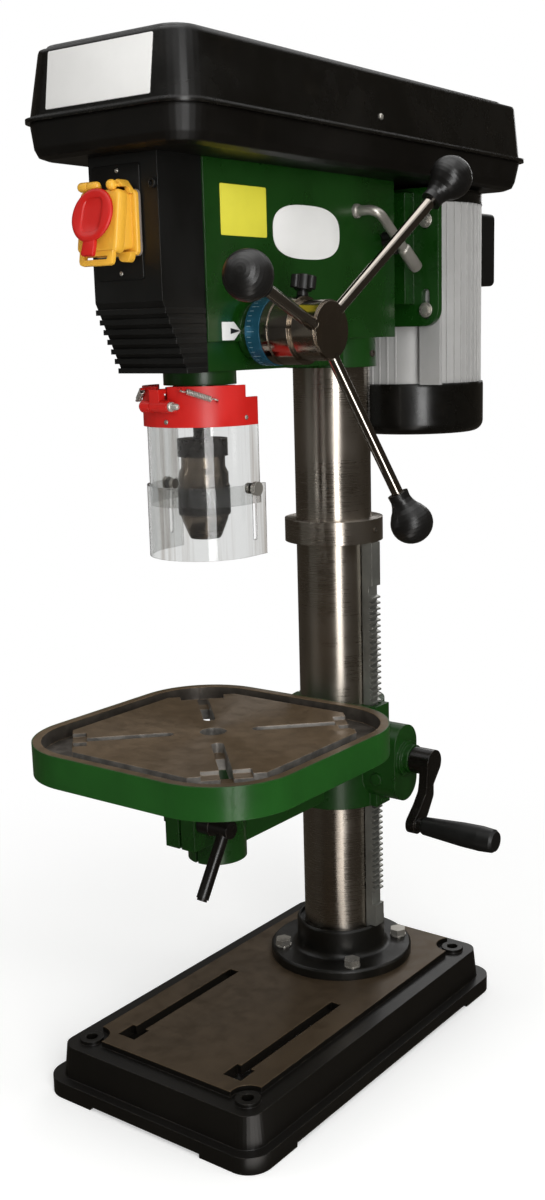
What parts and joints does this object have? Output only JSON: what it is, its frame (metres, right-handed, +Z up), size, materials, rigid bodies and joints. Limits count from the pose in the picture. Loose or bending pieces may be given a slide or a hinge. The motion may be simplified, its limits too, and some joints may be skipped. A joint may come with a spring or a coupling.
{
  "type": "pillar drill",
  "caption": "Belt-driven pillar drill with hand-fed quill, keyless chuck, flip-up guard and a lifting, tilting table on a round column.",
  "frame": {"origin": "centre of the base's underside, midway between its mounting holes", "axes": "+X towards the feed handles and the table crank, +Y to the rear (the motor), +Z up the column"},
  "size_m": [0.3536, 0.6323, 0.9814],
  "materials": {
    "black_iron": "satin black paint on cast iron",
    "zinc": "zinc plated",
    "ground_steel": "ground bright steel",
    "rack_steel": "milled steel",
    "green_paint": "gloss green paint on cast iron",
    "dark_steel": "oiled steel",
    "black_plastic": "black moulded plastic",
    "black_steel": "blackened steel",
    "table_iron": "machined top, gloss green painted edge",
    "yellow_plastic": "yellow moulded plastic",
    "red_plastic": "red moulded plastic",
    "green_plastic": "green moulded plastic",
    "black_gloss": "gloss black paint on sheet steel",
    "clear_plastic": "clear plastic sheet",
    "chuck_steel": "turned steel",
    "chrome": "polished chrome",
    "black_knob": "polished black plastic",
    "blue_aluminium": "blue dyed ring with a bare scale",
    "motor_aluminium": "bare extruded aluminium",
    "winding": "laminations and varnished winding",
    "belt_rubber": "rubber V-belt"
  },
  "bodies": {
    "frame": {"base": "black_iron", "column_flange": "black_iron", "flange_bolts": "zinc", "column": "ground_steel", "ring_collar": "ground_steel", "head_casting": "green_paint", "front_cover": "black_plastic", "switch_housing": "yellow_plastic", "belt_pan": "black_gloss", "pan_hinges": "black_steel", "spring_cup": "dark_steel", "return_spring": "dark_steel", "idler_post": "dark_steel", "drive_belts": "belt_rubber"},
    "rack": {"rack": "rack_steel"},
    "bracket": {"table_bracket": "green_paint", "bracket_bolts": "dark_steel"},
    "crank": {"worm_shaft": "dark_steel", "crank_arm": "black_iron"},
    "crank_grip": {"crank_grip": "black_plastic"},
    "lift_gear": {"lift_gear": "dark_steel"},
    "column_lock": {"column_lock_lever": "black_steel"},
    "table_arm": {"table_arm": "green_paint"},
    "table_lock": {"table_lock_lever": "black_steel"},
    "table": {"table": "table_iron"},
    "quill": {"quill": "ground_steel", "spindle_bearings": "ground_steel", "guard_clamp": "red_plastic"},
    "spindle": {"spindle": "ground_steel", "chuck_body": "black_steel", "chuck_jaws": "dark_steel"},
    "chuck_sleeve": {"chuck_sleeve": "chuck_steel"},
    "guard": {"guard_collar": "red_plastic", "guard_springs": "zinc", "upper_shield": "clear_plastic", "guard_screws": "zinc"},
    "lower_shield": {"lower_shield": "clear_plastic"},
    "feed": {"feed_shaft": "ground_steel", "feed_hub": "chuck_steel", "feed_arms": "chrome", "feed_knobs": "black_knob"},
    "depth_ring": {"depth_ring": "blue_aluminium"},
    "depth_lock": {"depth_lock_knob": "black_knob"},
    "motor": {"motor_plate": "green_paint", "slide_bars": "ground_steel", "motor_housing": "motor_aluminium", "motor_end_caps": "black_gloss", "capacitor_box": "black_plastic", "motor_stator": "winding"},
    "rotor": {"motor_rotor": "dark_steel", "motor_pulley": "motor_aluminium"},
    "slide_knob": {"slide_knob": "black_knob"},
    "tension_lever": {"tension_lever": "chrome"},
    "idler": {"idler_pulley": "motor_aluminium"},
    "spindle_pulley": {"spindle_pulley": "motor_aluminium"},
    "lid": {"lid": "black_gloss"},
    "switch_flap": {"switch_flap": "yellow_plastic", "stop_paddle": "red_plastic"},
    "on_button": {"on_button": "green_plastic"},
    "off_button": {"off_button": "red_plastic"}
  },
  "joints": [
    {"name": "rack_swing", "type": "hinge", "parent": "frame", "child": "rack", "pos_m": [0, 0.11, 0.3], "axis": [0, 0, 1], "range_deg": [-90, 90]},
    {"name": "table_lift", "type": "slide", "parent": "rack", "child": "bracket", "axis": [0, 0, 1], "range_m": [-0.135, 0.16]},
    {"name": "crank_turn", "type": "hinge", "parent": "bracket", "child": "crank", "pos_m": [0.096, 0.11, 0.297], "axis": [1, 0, 0], "range_deg": [-7734.93, 9167.33]},
    {"name": "crank_grip_spin", "type": "hinge", "parent": "crank", "child": "crank_grip", "pos_m": [0.15, 0.08699, 0.23514], "axis": [1, 0, 0], "continuous": true},
    {"name": "lift_gear_turn", "type": "hinge", "parent": "bracket", "child": "lift_gear", "pos_m": [0.065, 0.11, 0.275], "axis": [0, -1, 0], "range_deg": [-552.5, 654.81]},
    {"name": "column_lock_turn", "type": "hinge", "parent": "bracket", "child": "column_lock", "pos_m": [-0.064, 0.11, 0.302], "axis": [0, 1, 0], "range_deg": [0, 40]},
    {"name": "table_tilt", "type": "hinge", "parent": "bracket", "child": "table_arm", "pos_m": [0, 0.05, 0.288], "axis": [0, -1, 0], "range_deg": [-45, 45]},
    {"name": "table_lock_turn", "type": "hinge", "parent": "table_arm", "child": "table_lock", "pos_m": [0.03, -0.14, 0.288], "axis": [-1, 0, 0], "range_deg": [0, 50]},
    {"name": "table_swivel", "type": "hinge", "parent": "table_arm", "child": "table", "pos_m": [0, -0.1, 0.337], "axis": [0, 0, 1], "range_deg": [-7, 7]},
    {"name": "quill_feed", "type": "slide", "parent": "frame", "child": "quill", "axis": [0, 0, -1], "range_m": [0, 0.08], "stiffness_N_per_m": 700, "springref_m": -0.14},
    {"name": "feed_turn", "type": "hinge", "parent": "frame", "child": "feed", "pos_m": [0, -0.065, 0.743], "axis": [1, 0, 0], "range_deg": [0, 352.6]},
    {"name": "depth_ring_turn", "type": "hinge", "parent": "feed", "child": "depth_ring", "pos_m": [0.058, -0.065, 0.743], "axis": [1, 0, 0], "range_deg": [-170, 170]},
    {"name": "depth_lock_turn", "type": "hinge", "parent": "feed", "child": "depth_lock", "pos_m": [0.088, -0.05876, 0.77234], "axis": [0, 0.2079, 0.9781], "range_deg": [0, 180]},
    {"name": "spindle_turn", "type": "hinge", "parent": "quill", "child": "spindle", "pos_m": [0, -0.1, 0.666], "axis": [0, 0, 1], "continuous": true},
    {"name": "chuck_sleeve_turn", "type": "hinge", "parent": "spindle", "child": "chuck_sleeve", "pos_m": [0, -0.1, 0.596], "axis": [0, 0, 1], "range_deg": [0, 1080]},
    {"name": "guard_flip", "type": "hinge", "parent": "quill", "child": "guard", "pos_m": [0, -0.159, 0.68], "axis": [-1, 0, 0], "range_deg": [0, 90]},
    {"name": "shield_slide", "type": "slide", "parent": "guard", "child": "lower_shield", "axis": [0, 0, 1], "range_m": [0, 0.045]},
    {"name": "motor_slide", "type": "slide", "parent": "frame", "child": "motor", "axis": [0, -1, 0], "range_m": [0, 0.012]},
    {"name": "motor_turn", "type": "hinge", "parent": "motor", "child": "rotor", "pos_m": [0, 0.276, 0.786], "axis": [0, 0, 1], "continuous": true},
    {"name": "slide_knob_turn", "type": "hinge", "parent": "frame", "child": "slide_knob", "pos_m": [0.05, 0.142, 0.83], "axis": [1, 0, 0], "range_deg": [0, 120]},
    {"name": "tension_lever_turn", "type": "hinge", "parent": "frame", "child": "tension_lever", "pos_m": [0.05, 0.09, 0.857], "axis": [-1, 0, 0], "range_deg": [0, 34.38]},
    {"name": "idler_turn", "type": "hinge", "parent": "frame", "child": "idler", "pos_m": [0, 0.09, 0.922], "axis": [0, 0, 1], "continuous": true},
    {"name": "spindle_pulley_turn", "type": "hinge", "parent": "frame", "child": "spindle_pulley", "pos_m": [0, -0.1, 0.922], "axis": [0, 0, 1], "continuous": true},
    {"name": "lid_open", "type": "hinge", "parent": "frame", "child": "lid", "pos_m": [-0.1029, 0.078, 0.922], "axis": [0, -1, 0], "range_deg": [0, 100]},
    {"name": "switch_flap_open", "type": "hinge", "parent": "frame", "child": "switch_flap", "pos_m": [-0.0065, -0.212, 0.8635], "axis": [-1, 0, 0], "range_deg": [-12, 98]},
    {"name": "on_button_press", "type": "slide", "parent": "frame", "child": "on_button", "axis": [0, 1, 0], "range_m": [0, 0.003], "stiffness_N_per_m": 400, "springref_m": -0.002},
    {"name": "off_button_press", "type": "slide", "parent": "frame", "child": "off_button", "axis": [0, 1, 0], "range_m": [0, 0.003], "stiffness_N_per_m": 400, "springref_m": -0.002}
  ],
  "couplings": [
    {"joint": "crank_turn", "follows": "table_lift", "rad_per_m": 1000},
    {"joint": "lift_gear_turn", "follows": "table_lift", "rad_per_m": 71.429},
    {"joint": "feed_turn", "follows": "quill_feed", "rad_per_m": 76.923},
    {"joint": "tension_lever_turn", "follows": "motor_slide", "rad_per_m": 50},
    {"joint": "idler_turn", "follows": "motor_turn", "ratio": 0.64},
    {"joint": "spindle_pulley_turn", "follows": "motor_turn", "ratio": 0.5376},
    {"joint": "spindle_turn", "follows": "motor_turn", "ratio": 0.5376}
  ]
}
